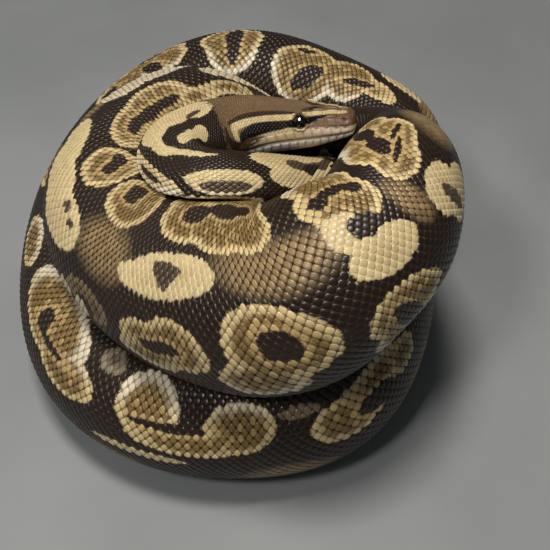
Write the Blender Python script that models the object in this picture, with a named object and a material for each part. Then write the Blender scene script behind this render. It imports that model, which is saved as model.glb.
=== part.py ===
"""A coiled ball python at life size, still, resting on the floor.

The animal is one long body that follows a course through the pile: head on top,
neck folded back under the jaw, a back and lower ring on the floor, a rise through
the middle, an upper ring over it, and the tail tucked into the hollow.
Sections are carried along the course. Where two lengths of the body press together
each is flattened against the plane between them, and the floor flattens the underside.
Units are metres, +Z is up, and the origin is on the floor below the pile's middle.
"""

import bmesh
import bpy
import numpy as np

MM = 0.001

# ---- Driving dimensions ---------------------------------------------------------

# Added to every station below: it sets the pile's box over the origin.
SETTING_MM = (17.3, -31.6, 0)

# The course of the body's middle, from the snout to the tip of the tail, in mm.
COURSE_MM = (
    # head, straight, and the nape behind it
    (29, 28.7, 99.9), (7.3, 31.6, 97.1), (-10.4, 33.5, 95), (-26, 28, 94.5),
    # neck, folded back and running under the jaw
    (-35.3, 13.2, 97.6), (-27.4, -0.4, 99), (-11.5, -0.8, 95.8), (5.5, 9, 84),
    # down under the right side and round to the back
    (24, 24, 68), (43, 40.5, 61), (49.5, 60.4, 60.4), (38.3, 79.4, 58),
    # back ring, sinking towards the left
    (15.1, 97.1, 56.6), (-11.6, 108.3, 55.4), (-39.5, 104.4, 49), (-62.1, 84, 41.5),
    # lower ring, on the floor
    (-75.4, 51.2, 34), (-76, 13.6, 27.3), (-64.2, -18, 25.6), (-39.7, -36.7, 26.2),
    (-9.6, -40.5, 26.8), (15.9, -32.7, 27), (30, -10, 27), (37, 17, 27),
    (38.5, 43, 27),
    # rise through the back of the pile
    (25, 64, 27.3), (1, 70, 34), (-22.5, 65.2, 55.6), (-37.9, 54.3, 68.3),
    # upper ring, heaviest at the front
    (-52.6, 32.3, 71), (-54.4, 8.6, 71.3), (-40, -13, 71), (-21.5, -27, 75.2),
    (-4.8, -35, 80), (9, -36, 85.8), (20.7, -31, 91.7), (33.4, -20, 95.2),
    (40.3, -3.2, 97.5), (43.3, 12, 94),
    # tail, tucked into the hollow under the head
    (42.5, 26, 88), (33, 38, 82), (18, 43, 77), (3, 39, 70), (-8, 29, 60),
    (-16, 19, 48), (-21, 10, 36), (-16, 2, 26),
)

# Distances along the body are counted from a mark 2 mm behind the snout's tip.
SNOUT = -2.0 * MM

# Half thickness of the body against the distance along it, in mm.
GIRTH_MM = (
    (50, 11.9), (74, 12.4), (107, 12.9), (135, 14), (165, 16.2), (206, 19.2), (257, 21.9),
    (315, 23.6), (380, 25.4), (455, 27.1), (545, 28.3), (640, 28.7), (755, 28.9),
    (806, 30), (849, 32.1), (866, 31.5), (898, 26.4), (930, 20.8), (946, 17.4),
    (964, 14.2), (982, 11.6), (1000, 9.6), (1017, 8), (1034, 6.2), (1050, 4.2), (1063, 1.8),
)

# Half width, crown height and throat depth of the head, against the same distance.
HEAD_MM = (
    (-2, 2.9, 2.9, 2.4), (-0.7, 4.5, 4.3, 3.9), (1.2, 5.5, 5.1, 4.8), (4, 6.4, 5.6, 5.7),
    (8, 7.3, 6.1, 6.9), (13, 8.3, 6.7, 8.2), (20, 9.8, 7.5, 9.4), (28, 12.0, 8.4, 10.5),
    (36, 13.8, 9.1, 11.4), (43, 13.7, 9.8, 11.8), (50, 12.6, 10.6, 11.9),
    (58, 12.0, 11.7, 11.8),
)

# How far the back leans out from upright, in degrees, against the same distance.
LEAN_DEG = (
    (0, 13), (45, 12), (62, 2), (82, -10), (110, -16), (150, 14), (185, 55),
    (225, 92), (270, 108), (330, 111), (420, 112), (520, 113), (575, 106),
    (640, 88), (685, 64), (720, 46), (756, 30), (785, 23), (849, 28), (900, 30),
    (932, 20), (960, 4), (1063, 0),
)

HEAD_ENDS = 60 * MM          # past here every section is round
JAW_HINGE = 42 * MM          # the head and lower jaw end here and the neck begins
MOUTH_DROP = 4.0 * MM        # the mouth line below the head's middle at the hinge
EYE_RADIUS = 2.75 * MM
EYE_FROM_SNOUT = 17.2 * MM
EYE_OUT = 6.7 * MM           # from the head's middle to the eye's centre
EYE_UP = 3.4 * MM
GAP = 0.3 * MM               # left between pieces that touch
PRESS_GAP = 0.45 * MM        # left on each side where two lengths press together
ROUNDING = 2.4 * MM          # softens the edge of each pressed flat
BELLY_FLAT = 0.05            # share of the half thickness missing under the belly
RING_STEP = 7.3 * MM         # between sections along the body
HEAD_STEPS = (-2, -0.8, 1.2, 4, 7.5, 11.5, 15.5, 19.5, 23.5, 28, 33, 37.5, 42)
SIDES = 26                   # points around each section
FAR = 1.0                    # further than any other length of the body

# Where one named length ends and the next begins, in mm.
LENGTHS_MM = (
    ("neck", 42, 170), ("trunk_back", 170, 330), ("trunk_lower_left", 330, 470),
    ("trunk_lower_front", 470, 590), ("trunk_rise", 590, 735),
    ("trunk_upper_left", 735, 820), ("trunk_upper_front", 820, 888),
    ("trunk_upper_right", 888, 945), ("tail", 945, None),
)


# ---- Curves and frames ----------------------------------------------------------

def spline(knots, values, at):
    """Natural cubic through (knots, values): its second derivatives solve a band matrix."""
    knots, values = np.asarray(knots, float), np.asarray(values, float)
    flat = values.reshape(len(knots), -1)
    step = np.diff(knots)
    slope = np.diff(flat, axis=0) / step[:, None]
    band = np.eye(len(knots))
    right = np.zeros_like(flat)
    for i in range(1, len(knots) - 1):
        band[i, i - 1:i + 2] = step[i - 1], 2 * (step[i - 1] + step[i]), step[i]
        right[i] = 6 * (slope[i] - slope[i - 1])
    bend = np.linalg.solve(band, right)
    at = np.asarray(at, float)
    low = np.clip(np.searchsorted(knots, at, side="right") - 1, 0, len(step) - 1)
    h = step[low][:, None]
    a = (at - knots[low])[:, None]
    b = h - a
    found = (bend[low] * b ** 3 + bend[low + 1] * a ** 3) / (6 * h)
    found += (flat[low] / h - bend[low] * h / 6) * b
    found += (flat[low + 1] / h - bend[low + 1] * h / 6) * a
    return found.reshape(at.shape + values.shape[1:])


def table(rows, at):
    """Reads a table of (distance, value, ...) rows in mm at distances in metres."""
    rows = np.asarray(rows, float)
    return spline(rows[:, 0], rows[:, 1:], np.clip(at / MM, rows[0, 0], rows[-1, 0]))


class Course:
    """The course as a curve by distance: place, direction and the two cross directions."""

    def __init__(self):
        stations = (np.array(COURSE_MM) + SETTING_MM) * MM
        fine = np.linspace(0, len(stations) - 1, 4001)
        self.points = spline(np.arange(len(stations)), stations, fine)
        hops = np.linalg.norm(np.diff(self.points, axis=0), axis=1)
        self.distance = SNOUT + np.concatenate([[0], np.cumsum(hops)])
        self.length = self.distance[-1]

    def place(self, at):
        return np.stack([np.interp(at, self.distance, self.points[:, k]) for k in range(3)], -1)

    def frames(self, at):
        """Place, direction, upward cross direction and outward cross direction."""
        reach = 0.6 * MM
        ahead = np.minimum(at + reach, self.length)
        along = self.place(ahead) - self.place(np.maximum(ahead - 2 * reach, SNOUT))
        along /= np.linalg.norm(along, axis=1)[:, None]
        out = np.cross(along, (0, 0, 1))
        out /= np.linalg.norm(out, axis=1)[:, None]
        return self.place(at), along, np.cross(out, along), out


def half_thickness(at):
    return table(GIRTH_MM, at)[:, 0] * MM


def section_sizes(at):
    """Half width, crown and depth of each section: the head's own, then the round body's."""
    body = half_thickness(at)
    head = table(HEAD_MM, at) * MM
    near = np.clip((HEAD_ENDS - at) / (HEAD_ENDS - JAW_HINGE), 0, 1)[:, None]
    blend = near * near * (3 - 2 * near)
    return blend * head + (1 - blend) * body[:, None]


def section_reach(at, turn):
    """Distance from the middle to the skin at each turn from the spine, before pressing.

    A section is a rounded box: half width and height follow the tables, and the
    belly of the round body is slightly flat."""
    wide, crown, deep = (column[:, None] for column in section_sizes(at).T)
    across, upward = np.sin(turn), np.cos(turn)
    tall = np.where(upward > 0, crown, deep)
    power = 2 + 0.45 * np.clip((HEAD_ENDS - at) / HEAD_ENDS, 0, 1)[:, None]
    share = (np.abs(across) / wide) ** power + (np.abs(upward) / tall) ** power
    belly = np.clip((-upward - 0.55) / 0.45, 0, 1)
    return share ** (-1 / power) * (1 - BELLY_FLAT * belly)


# ---- Pressing -------------------------------------------------------------------

def softer_minimum(a, b):
    """The smaller of a and b, with the corner between them rounded."""
    mix = np.clip(0.5 + 0.5 * (b - a) / ROUNDING, 0, 1)
    return b * (1 - mix) + a * mix - ROUNDING * mix * (1 - mix)


def pressed_reach(course, at, rays, reach):
    """Shortens each ray where another length of the body, or the floor, is in its way.

    Two round lengths share the plane in which tangents to both are equally long, so
    the flat is at (gap^2 + mine^2 - theirs^2) / (2 gap) along the line to the other."""
    middle = course.place(at)
    mine = half_thickness(at)
    other_at = np.arange(SNOUT, course.length, 2.5 * MM)
    other = course.place(other_at)
    theirs = section_sizes(other_at).mean(axis=1)
    limit = np.full(reach.shape, FAR)
    for i, here in enumerate(at):
        apart = np.abs(other_at - here) > 1.3 * (mine[i] + theirs)
        to_other = other[apart] - middle[i]
        gap = (to_other ** 2).sum(axis=1)
        along_ray = rays[i] @ to_other.T
        flat = (gap + mine[i] ** 2 - theirs[apart] ** 2) / (2 * np.maximum(along_ray, 1e-9))
        flat = np.where(along_ray > 1e-6, flat, FAR)
        limit[i] = flat.min(axis=1) - PRESS_GAP
    rigid = (at < JAW_HINGE)[:, None]
    pressed = np.where(rigid, reach, softer_minimum(reach, limit))
    down = np.maximum(-rays[..., 2], 1e-9)
    return np.minimum(pressed, middle[:, 2:3] / down)


def rings(course, at):
    """Points of the skin for each section: an array (sections, SIDES, 3)."""
    middle, _, up, out = course.frames(at)
    turn = np.linspace(0, 2 * np.pi, SIDES, endpoint=False)[None, :]
    lean = np.radians(table(LEAN_DEG, at))
    angle = turn + lean
    rays = np.cos(angle)[..., None] * up[:, None] + np.sin(angle)[..., None] * out[:, None]
    reach = section_reach(at, np.broadcast_to(turn, angle.shape))
    return middle[:, None] + rays * pressed_reach(course, at, rays, reach)[..., None]


# ---- Meshes ---------------------------------------------------------------------

def material(name, colour, roughness):
    made = bpy.data.materials.new(name)
    made.use_nodes = True
    shader = made.node_tree.nodes["Principled BSDF"]
    shader.inputs["Base Color"].default_value = (*colour, 1)
    shader.inputs["Roughness"].default_value = roughness
    made.diffuse_color = (*colour, 1)
    return made


def new_object(name, mesh, look):
    made = bpy.data.objects.new(name, mesh)
    made.data.materials.append(look)
    bpy.context.scene.collection.objects.link(made)
    return made


def loft(name, sections, look):
    """Closed body through a stack of sections, with a fan over each end."""
    body = bmesh.new()
    loops = [[body.verts.new(point) for point in section] for section in sections]
    count = len(loops[0])
    for near, far in zip(loops, loops[1:]):
        for i in range(count):
            j = (i + 1) % count
            body.faces.new((near[i], near[j], far[j], far[i]))
    for loop in (loops[0][::-1], loops[-1]):
        hub = body.verts.new(np.mean([vert.co for vert in loop], axis=0))
        for i in range(count):
            body.faces.new((hub, loop[i], loop[(i + 1) % count]))
    bmesh.ops.recalc_face_normals(body, faces=body.faces)
    mesh = bpy.data.meshes.new(name)
    body.to_mesh(mesh)
    body.free()
    mesh.shade_smooth()
    mesh.set_sharp_from_angle(angle=np.radians(50))
    return new_object(name, mesh, look)


def stations_between(start, end):
    count = max(2, int(round((end - start) / RING_STEP)) + 1)
    return np.linspace(start, end, count)


def body_length(course, name, start, end, look):
    """One length of the body between two flat ends."""
    return loft(name, rings(course, stations_between(start, end)), look)


def mouth_height(at):
    """The mouth line falls from mid snout to just below the middle at the hinge."""
    return -MOUTH_DROP * (0.35 + 0.65 * at / JAW_HINGE)


def head_half(course, name, look, upper):
    """The part of the head above or below the mouth, its flat side on the mouth line."""
    start = SNOUT if upper else SNOUT + 0.9 * MM
    at = np.array(HEAD_STEPS) * MM
    at = np.concatenate([[start], at[at > start]])
    at[-1] -= GAP
    middle, _, up, out = course.frames(at)
    lean = np.radians(table(LEAN_DEG, at))
    crown = np.cos(lean) * up + np.sin(lean) * out
    side = -np.sin(lean) * up + np.cos(lean) * out
    line = mouth_height(at) + (GAP / 2 if upper else -GAP / 2)
    fine = np.radians(np.arange(0, 360, 1))[None, :]
    reach = section_reach(at, np.broadcast_to(fine, (len(at), 360)))
    across, height = reach * np.sin(fine), reach * np.cos(fine)
    sections = []
    for i in range(len(at)):
        keep = height[i] > line[i] if upper else height[i] < line[i]
        order = np.argsort(np.arctan2(across[i][keep], (1 if upper else -1) * height[i][keep]))
        edge = np.stack([across[i][keep][order], height[i][keep][order]], axis=1)
        edge[0, 1] = edge[-1, 1] = line[i]
        steps = np.linalg.norm(np.diff(edge, axis=0), axis=1)
        walked = np.concatenate([[0], np.cumsum(steps)])
        even = np.linspace(0, walked[-1], 17)
        arc = np.stack([np.interp(even, walked, edge[:, k]) for k in range(2)], axis=1)
        flat = np.linspace(arc[-1], arc[0], 7)[1:-1]
        outline = np.concatenate([arc, flat])
        sections.append(middle[i] + outline[:, :1] * side[i] + outline[:, 1:] * crown[i])
    return loft(name, sections, look)


def eye_centre(course, sign):
    at = np.array([EYE_FROM_SNOUT])
    middle, _, up, out = course.frames(at)
    lean = np.radians(table(LEAN_DEG, at))[0]
    crown = np.cos(lean) * up[0] + np.sin(lean) * out[0]
    side = -np.sin(lean) * up[0] + np.cos(lean) * out[0]
    return middle[0] + EYE_UP * crown + sign * EYE_OUT * side


def ball(name, centre, radius, look):
    body = bmesh.new()
    bmesh.ops.create_uvsphere(body, u_segments=16, v_segments=10, radius=radius)
    bmesh.ops.translate(body, verts=body.verts, vec=centre)
    mesh = bpy.data.meshes.new(name)
    body.to_mesh(mesh)
    body.free()
    mesh.shade_smooth()
    return new_object(name, mesh, look)


def add_eye(course, head, name, sign, look):
    """An eyeball in a socket cut to fit it."""
    centre = eye_centre(course, sign)
    cutter = ball(name + "_socket", centre, EYE_RADIUS + GAP, look)
    cutter.hide_render = True
    cutter.display_type = "WIRE"
    cut = head.modifiers.new(name + "_socket", "BOOLEAN")
    cut.operation = "DIFFERENCE"
    cut.solver = "EXACT"
    cut.object = cutter
    ball(name, centre, EYE_RADIUS, look)


def main():
    for old in list(bpy.data.objects):
        bpy.data.objects.remove(old)
    course = Course()
    brown = material("head_brown", (0.13, 0.085, 0.05), 0.42)
    pale = material("jaw_cream", (0.55, 0.48, 0.38), 0.45)
    dark = material("body_dark", (0.045, 0.033, 0.028), 0.38)
    tan = material("body_tan", (0.46, 0.36, 0.19), 0.45)
    black = material("eye_black", (0.008, 0.008, 0.009), 0.06)
    head = head_half(course, "head", brown, upper=True)
    head_half(course, "lower_jaw", pale, upper=False)
    add_eye(course, head, "eye_right", -1, black)
    add_eye(course, head, "eye_left", 1, black)
    for index, (name, start, end) in enumerate(LENGTHS_MM):
        finish = course.length if end is None else end * MM - GAP
        body_length(course, name, start * MM, finish, tan if index % 2 else dark)


main()
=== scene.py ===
# %% [markdown]
# # A coiled ball python, as a life-size display model
#
# The model is one long animal lying in a pile: the head rests on top, the neck folds
# back under the jaw, a back and a lower ring lie on the floor, an upper ring lies over
# them and the tail is tucked into the hollow. The construction model gives its size and
# its places. This script adds what the eye sees: skin, scales, markings and eyes.

import bpy
import numpy as np
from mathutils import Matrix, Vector


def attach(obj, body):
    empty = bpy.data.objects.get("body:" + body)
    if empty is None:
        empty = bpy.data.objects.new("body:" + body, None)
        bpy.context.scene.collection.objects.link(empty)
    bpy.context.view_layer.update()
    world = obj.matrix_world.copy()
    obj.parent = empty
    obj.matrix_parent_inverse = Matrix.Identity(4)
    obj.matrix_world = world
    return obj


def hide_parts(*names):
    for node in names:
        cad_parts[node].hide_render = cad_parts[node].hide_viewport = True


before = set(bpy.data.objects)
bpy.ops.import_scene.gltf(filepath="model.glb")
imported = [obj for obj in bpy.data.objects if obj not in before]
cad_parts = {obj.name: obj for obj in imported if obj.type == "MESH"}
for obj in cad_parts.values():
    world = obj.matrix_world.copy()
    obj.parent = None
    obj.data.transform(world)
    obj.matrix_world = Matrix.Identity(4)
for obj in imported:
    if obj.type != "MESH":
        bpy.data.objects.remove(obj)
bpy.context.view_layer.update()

MM = 0.001
print("nodes:", sorted(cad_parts))

# %% [markdown]
# ## Camera, floor and light
#
# A coiled snake is read from above and in front, so the camera looks down at 50 degrees
# with a short tele lens. The stage is a grey floor. Two small lamps above give each
# glossy scale its highlight, and two wide ones keep the shadows open.

# %% Camera
AIM = Vector((0.0173, -0.0316, 0.05))
LOOK_DOWN = np.radians(50)
DISTANCE = 0.340
back = Vector((0, -np.cos(LOOK_DOWN), np.sin(LOOK_DOWN)))
camera_data = bpy.data.cameras.new("camera")
camera_data.lens, camera_data.sensor_width = 59.14, 36
camera_data.clip_start, camera_data.clip_end = 0.01, 20
camera = bpy.data.objects.new("camera", camera_data)
camera.location = AIM + back * DISTANCE
camera.rotation_euler = (-back).to_track_quat("-Z", "Y").to_euler()
bpy.context.scene.collection.objects.link(camera)
bpy.context.scene.camera = camera

# %% [markdown]
# Shader maths reads best as plain expressions. `Wire` wraps one output socket: adding or
# multiplying wires adds Math nodes, and `node` adds any other node.

# %% A socket that does arithmetic
class Wire:
    """One output socket of a node tree, with Python's operators on it."""

    def __init__(self, tree, socket=None):
        self.tree, self.socket = tree, socket

    def node(self, kind, settings=None, sockets=None, out=0):
        """Adds a node: its settings first, then its sockets' values or links."""
        made = self.tree.nodes.new(kind)
        for key, value in (settings or {}).items():
            setattr(made, key, value)
        for key, value in (sockets or {}).items():
            if isinstance(value, Wire):
                self.tree.links.new(value.socket, made.inputs[key])
            else:
                made.inputs[key].default_value = value
        return Wire(self.tree, made.outputs[out]) if made.outputs else made

    def maths(self, operation, *values):
        """A Math node of these values; a value is a wire or a number."""
        return self.node("ShaderNodeMath", {"operation": operation}, dict(enumerate(values)))

    def __add__(self, other):
        return self.maths("ADD", self, other)

    def __mul__(self, other):
        return self.maths("MULTIPLY", self, other)

    __radd__ = __add__
    __rmul__ = __mul__

    def between(self, low, high):
        """0 below low, 1 above high, and a smooth step from one to the other."""
        sockets = {"Value": self, "From Min": low, "From Max": high}
        return self.node("ShaderNodeMapRange", {"interpolation_type": "SMOOTHSTEP"}, sockets)

    def mix(self, first, second):
        """A colour: first where this wire is 0, second where it is 1."""
        sockets = {0: self, 6: first, 7: second}
        return self.node("ShaderNodeMix", {"data_type": "RGBA"}, sockets, out=2)


def material(name, build):
    """A new material; build gets a starting wire and the Principled BSDF's inputs."""
    made = bpy.data.materials.new(name)
    made.use_nodes = True
    tree = made.node_tree
    build(Wire(tree), tree, tree.nodes["Principled BSDF"])
    return made


def plug(tree, value, socket):
    """Links a wire to a socket."""
    tree.links.new(value.socket, socket)


def linear(red, green, blue, fleck=0.1):
    """Screen values from 0 to 255 as linear light, and how flecked that colour is."""
    share = np.array((red, green, blue)) / 255
    light = np.where(share <= 0.04045, share / 12.92, ((share + 0.055) / 1.055) ** 2.4)
    return np.append(light, fleck)


# %% Floor and light
FLOOR_DARK, FLOOR_LIGHT = (0.27, 0.285, 0.29, 1), (0.32, 0.335, 0.34, 1)


def floor_finish(start, tree, shader):
    """Dull grey, a little cloudy."""
    where = start.node("ShaderNodeTexCoord", out="Object")
    cloud = where.node("ShaderNodeTexNoise", {}, {"Vector": where, "Scale": 9.0, "Detail": 4.0})
    plug(tree, cloud.between(0.3, 0.7).mix(FLOOR_DARK, FLOOR_LIGHT), shader.inputs["Base Color"])
    shader.inputs["Roughness"].default_value = 0.6


floor_mesh = bpy.data.meshes.new("floor")
floor_mesh.from_pydata([(-3, -3, 0), (3, -3, 0), (3, 3, 0), (-3, 3, 0)], [], [(0, 1, 2, 3)])
floor_mesh.materials.append(material("floor", floor_finish))
floor = bpy.data.objects.new("floor", floor_mesh)
bpy.context.scene.collection.objects.link(floor)


def lamp(name, place, size, watts, colour):
    """A square soft light that looks at the middle of the pile."""
    data = bpy.data.lights.new(name, "AREA")
    data.size, data.energy, data.color = size, watts, colour
    made = bpy.data.objects.new(name, data)
    made.location = place
    made.rotation_euler = (AIM - Vector(place)).to_track_quat("-Z", "Y").to_euler()
    bpy.context.scene.collection.objects.link(made)


lamp("key", (-0.05, -0.06, 0.85), 0.16, 4.5, (1.0, 0.96, 0.89))
lamp("glint", (-0.25, -0.38, 0.72), 0.10, 1.7, (1.0, 0.98, 0.94))
lamp("front", (0.10, -0.9, 0.85), 0.9, 0.25, (1.0, 0.98, 0.95))
lamp("left", (-0.9, 0.1, 0.6), 0.9, 0.8, (0.95, 0.97, 1.0))
world = bpy.data.worlds.new("studio")
world.use_nodes = True
world.node_tree.nodes["Background"].inputs["Color"].default_value = (0.80, 0.84, 0.88, 1)
world.node_tree.nodes["Background"].inputs["Strength"].default_value = 0.06
bpy.context.scene.world = world
bpy.context.scene.view_settings.view_transform = "Standard"

# %% [markdown]
# ## The course of the body
#
# Every place on the animal is named by two numbers: how far it is from the snout along
# the body, in millimetres, and its turn from the spine, in degrees. The course says
# where the middle of the body runs, and tables say how thick it is and how far the
# spine leans. They repeat the construction model's own, so the skin fits it exactly.

# %% Course and tables
SETTING = (17.3, -31.6, 0)
COURSE = (
    (29, 28.7, 99.9), (7.3, 31.6, 97.1), (-10.4, 33.5, 95), (-26, 28, 94.5),
    (-35.3, 13.2, 97.6), (-27.4, -0.4, 99), (-11.5, -0.8, 95.8), (5.5, 9, 84),
    (24, 24, 68), (43, 40.5, 61), (49.5, 60.4, 60.4), (38.3, 79.4, 58),
    (15.1, 97.1, 56.6), (-11.6, 108.3, 55.4), (-39.5, 104.4, 49), (-62.1, 84, 41.5),
    (-75.4, 51.2, 34), (-76, 13.6, 27.3), (-64.2, -18, 25.6), (-39.7, -36.7, 26.2),
    (-9.6, -40.5, 26.8), (15.9, -32.7, 27), (30, -10, 27), (37, 17, 27),
    (38.5, 43, 27), (25, 64, 27.3), (1, 70, 34), (-22.5, 65.2, 55.6), (-37.9, 54.3, 68.3),
    (-52.6, 32.3, 71), (-54.4, 8.6, 71.3), (-40, -13, 71), (-21.5, -27, 75.2),
    (-4.8, -35, 80), (9, -36, 85.8), (20.7, -31, 91.7), (33.4, -20, 95.2),
    (40.3, -3.2, 97.5), (43.3, 12, 94),
    (42.5, 26, 88), (33, 38, 82), (18, 43, 77), (3, 39, 70), (-8, 29, 60),
    (-16, 19, 48), (-21, 10, 36), (-16, 2, 26),
)
GIRTH = (
    (50, 11.9), (74, 12.4), (107, 12.9), (135, 14), (165, 16.2), (206, 19.2), (257, 21.9),
    (315, 23.6), (380, 25.4), (455, 27.1), (545, 28.3), (640, 28.7), (755, 28.9),
    (806, 30), (849, 32.1), (866, 31.5), (898, 26.4), (930, 20.8), (946, 17.4),
    (964, 14.2), (982, 11.6), (1000, 9.6), (1017, 8), (1034, 6.2), (1050, 4.2), (1063, 1.8),
)
HEAD = (
    (-2, 2.9, 2.9, 2.4), (-0.7, 4.5, 4.3, 3.9), (1.2, 5.5, 5.1, 4.8), (4, 6.4, 5.6, 5.7),
    (8, 7.3, 6.1, 6.9), (13, 8.3, 6.7, 8.2), (20, 9.8, 7.5, 9.4), (28, 12.0, 8.4, 10.5),
    (36, 13.8, 9.1, 11.4), (43, 13.7, 9.8, 11.8), (50, 12.6, 10.6, 11.9),
    (58, 12.0, 11.7, 11.8),
)
LEAN = (
    (0, 13), (45, 12), (62, 2), (82, -10), (110, -16), (150, 14), (185, 55),
    (225, 92), (270, 108), (330, 111), (420, 112), (520, 113), (575, 106),
    (640, 88), (685, 64), (720, 46), (756, 30), (785, 23), (849, 28), (900, 30),
    (932, 20), (960, 4), (1063, 0),
)
SNOUT, HEAD_ENDS, JAW_HINGE, MOUTH_DROP = -2.0, 60, 42, 4.0
EYE_FROM_SNOUT, EYE_OUT, EYE_UP = 17.2, 6.7, 3.4
PRESS_GAP, ROUNDING, BELLY_FLAT, FAR = 0.45, 2.4, 0.05, 1000.0


def spline(knots, values, at):
    """Natural cubic through (knots, values): its second derivatives solve a band matrix."""
    knots, values = np.asarray(knots, float), np.asarray(values, float)
    flat = values.reshape(len(knots), -1)
    span = np.diff(knots)
    slope = np.diff(flat, axis=0) / span[:, None]
    band = np.eye(len(knots))
    right = np.zeros_like(flat)
    for i in range(1, len(knots) - 1):
        band[i, i - 1:i + 2] = span[i - 1], 2 * (span[i - 1] + span[i]), span[i]
        right[i] = 6 * (slope[i] - slope[i - 1])
    bend = np.linalg.solve(band, right)
    at = np.asarray(at, float)
    low = np.clip(np.searchsorted(knots, at, side="right") - 1, 0, len(span) - 1)
    h = span[low][:, None]
    a = (at - knots[low])[:, None]
    b = h - a
    found = (bend[low] * b ** 3 + bend[low + 1] * a ** 3) / (6 * h)
    found += (flat[low] / h - bend[low] * h / 6) * b
    found += (flat[low + 1] / h - bend[low + 1] * h / 6) * a
    return found.reshape(at.shape + values.shape[1:])


def table(rows, at):
    """Reads a table of (distance, value, ...) rows along one smooth curve."""
    rows = np.asarray(rows, float)
    return spline(rows[:, 0], rows[:, 1:], np.clip(at, rows[0, 0], rows[-1, 0]))


stations = np.array(COURSE, float) + SETTING
walk = spline(np.arange(len(stations)), stations, np.linspace(0, len(stations) - 1, 4001))
walked = SNOUT + np.concatenate([[0], np.cumsum(np.linalg.norm(np.diff(walk, axis=0), axis=1))])
LENGTH = walked[-1]


def place(at):
    """Middle of the body at a distance along it."""
    return np.stack([np.interp(at, walked, walk[:, k]) for k in range(3)], -1)


def frames(at):
    """Place, direction, and the upward and outward cross directions."""
    ahead = np.minimum(at + 0.6, LENGTH)
    along = place(ahead) - place(np.maximum(ahead - 1.2, SNOUT))
    along /= np.linalg.norm(along, axis=1)[:, None]
    out = np.cross(along, (0, 0, 1))
    out /= np.linalg.norm(out, axis=1)[:, None]
    return place(at), along, np.cross(out, along), out


def half_thickness(at):
    """Half thickness of the body at a distance along it."""
    return table(GIRTH, at)[:, 0]


print("length from snout to tail tip:", round(LENGTH - SNOUT), "mm")

# %% [markdown]
# ## The skin as a surface
#
# A section of the body is a rounded box on the head and a circle behind it. Where two
# lengths press together both flatten against the plane between them, and the floor
# flattens the underside. A fine grid of points over (distance, turn) holds the result,
# and anything laid on the skin later reads its place and its outward direction there.

# %% Sections and pressing
def section_sizes(at):
    """Half width, crown and depth: the head's own, blending into the round body's."""
    near = np.clip((HEAD_ENDS - at) / (HEAD_ENDS - JAW_HINGE), 0, 1)[:, None]
    share = near * near * (3 - 2 * near)
    return share * table(HEAD, at) + (1 - share) * half_thickness(at)[:, None]


def section_reach(at, turn):
    """Distance from the middle to the skin at each turn, before pressing."""
    wide, crown, deep = (column[:, None] for column in section_sizes(at).T)
    across, upward = np.sin(turn), np.cos(turn)
    tall = np.where(upward > 0, crown, deep)
    power = 2 + 0.45 * np.clip((HEAD_ENDS - at) / HEAD_ENDS, 0, 1)[:, None]
    share = (np.abs(across) / wide) ** power + (np.abs(upward) / tall) ** power
    belly = np.clip((-upward - 0.55) / 0.45, 0, 1)
    return share ** (-1 / power) * (1 - BELLY_FLAT * belly)


def softer_minimum(a, b, rounding=ROUNDING):
    """The smaller of a and b, with the corner between them rounded."""
    mix = np.clip(0.5 + 0.5 * (b - a) / rounding, 0, 1)
    return b * (1 - mix) + a * mix - rounding * mix * (1 - mix)


def pressed_reach(at, middle, rays, reach):
    """Shortens each ray at the plane shared with another length, and at the floor."""
    mine = half_thickness(at)
    other_at = np.arange(SNOUT, LENGTH, 2.5)
    other = place(other_at)
    theirs = section_sizes(other_at).mean(axis=1)
    limit = np.full(reach.shape, FAR)
    for i, here in enumerate(at):
        apart = np.abs(other_at - here) > 1.3 * (mine[i] + theirs)
        to_other = other[apart] - middle[i]
        gap = (to_other ** 2).sum(axis=1)
        along_ray = rays[i] @ to_other.T
        flat = (gap + mine[i] ** 2 - theirs[apart] ** 2) / (2 * np.maximum(along_ray, 1e-6))
        flat = np.where(along_ray > 1e-3, flat, FAR)
        limit[i] = flat.min(axis=1) - PRESS_GAP
    rigid = (at < JAW_HINGE)[:, None]
    pressed = np.where(rigid, reach, softer_minimum(reach, limit))
    return np.minimum(pressed, middle[:, 2:3] / np.maximum(-rays[..., 2], 1e-9))


# %% The grid over the whole animal
SIDES = 240
HEAD_STEP, BODY_STEP, FINE_ENDS = 0.4, 1.2, 62
TIP, TIP_ENDS = np.array([0, 0.04, 0.14, 0.3, 0.5, 0.75, 1.05]), 1.4
TAIL_END = np.array([2, 1.5, 1.0, 0.6, 0.3, 0.1, 0])
grid_s = np.concatenate([SNOUT + TIP, np.arange(SNOUT + TIP_ENDS, FINE_ENDS, HEAD_STEP),
                         np.arange(FINE_ENDS, LENGTH - 2.5, BODY_STEP), LENGTH - TAIL_END])
grid_t = np.arange(SIDES) * 360 / SIDES
middle, along, up, out = frames(grid_s)
lean = np.radians(table(LEAN, grid_s))
turn = np.radians(grid_t)[None, :]
angle = turn + lean
rays = np.cos(angle)[..., None] * up[:, None] + np.sin(angle)[..., None] * out[:, None]
reach = section_reach(grid_s, np.broadcast_to(turn, angle.shape))
reach = pressed_reach(grid_s, middle, rays, reach)
closing = np.minimum((grid_s - SNOUT) / TIP_ENDS, (LENGTH - grid_s) / TAIL_END[0]).clip(0, 1)
reach = reach * np.sqrt(1 - (1 - closing[:, None]) ** 2)
radius_at = np.median(reach, axis=1)
print("grid:", reach.shape)

# %% [markdown]
# ## The shape of the head
#
# The construction head has the right outline but is smooth. The living one has a brow
# over each eye, a hollow between eye and nostril, full lips with a groove between them,
# heat pits in the lips and a chin groove. Each is a small push in or out, given as a
# round or long bump in (distance, turn), the same on both sides.

# %% Reliefs of the head
def bump(s, side, s0, t0, long_mm, high_deg):
    """A smooth hill of height 1 at (s0, t0): a Gaussian in both directions."""
    return np.exp(-((s - s0) / long_mm) ** 2 - ((side - t0) / high_deg) ** 2)


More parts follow.
